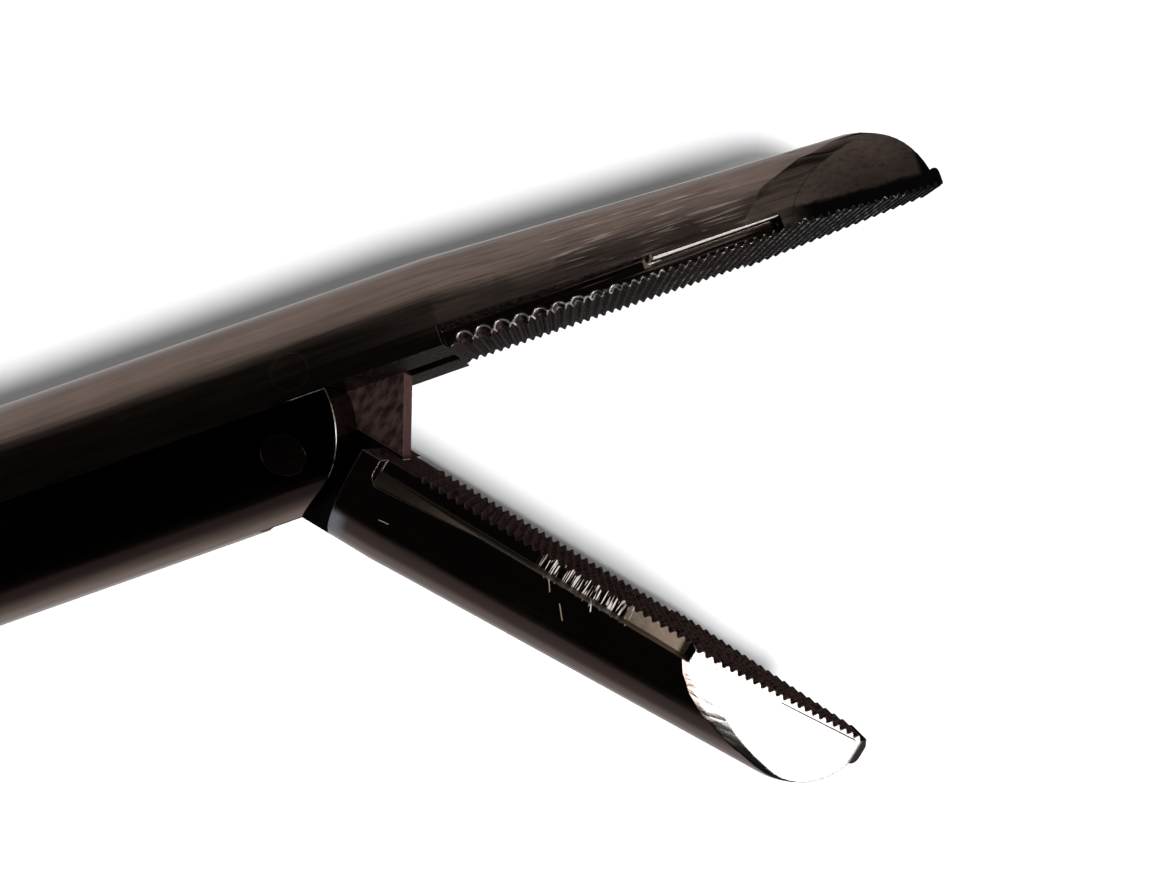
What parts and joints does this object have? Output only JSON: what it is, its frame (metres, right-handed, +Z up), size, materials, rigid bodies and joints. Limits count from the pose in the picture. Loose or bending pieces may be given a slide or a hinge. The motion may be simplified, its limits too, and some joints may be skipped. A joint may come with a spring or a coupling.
{
  "type": "alligator forceps",
  "caption": "Slender surgical forceps: a sliding half bar swings a finely serrated lower jaw against a fixed upper jaw, worked by two ring handles.",
  "frame": {"origin": "under the middle of the whole object, on the table that it lies on", "axes": "+X along the shaft to the jaw tips, +Y from the sliding bar towards the fixed jaw and the handles, +Z up along the hinge pins"},
  "size_m": [0.196, 0.091, 0.0078],
  "materials": {
    "frame_steel": "dark brushed",
    "slide_steel": "dark polished",
    "jaw_steel": "dark polished",
    "handle_steel": "satin",
    "pin_steel": "ground flush"
  },
  "bodies": {
    "frame": {"fixed_frame": "frame_steel", "jaw_pivot_pin": "pin_steel", "front_guide_stud": "pin_steel", "rear_guide_stud": "pin_steel", "handle_pivot_screw": "pin_steel"},
    "slide": {"slide_bar": "slide_steel", "jaw_drive_pin": "pin_steel", "lever_pin": "pin_steel"},
    "jaw": {"moving_jaw": "jaw_steel"},
    "lever": {"finger_lever": "handle_steel"}
  },
  "joints": [
    {"name": "lever_turn", "type": "hinge", "parent": "frame", "child": "lever", "pos_m": [-0.03322, -0.02577, 0.0039], "axis": [0, 0, 1], "range_deg": [0, 17.89]},
    {"name": "bar_slide", "type": "slide", "parent": "frame", "child": "slide", "axis": [1, 0, 0], "range_m": [0, 0.00189]},
    {"name": "jaw_turn", "type": "hinge", "parent": "frame", "child": "jaw", "pos_m": [0.07878, -0.02957, 0.0039], "axis": [0, 0, 1], "range_deg": [0, 50.8]}
  ],
  "couplings": [
    {"joint": "bar_slide", "follows": "lever_turn", "m_per_rad": 0.0060493},
    {"joint": "jaw_turn", "follows": "lever_turn", "ratio": 2.838}
  ]
}
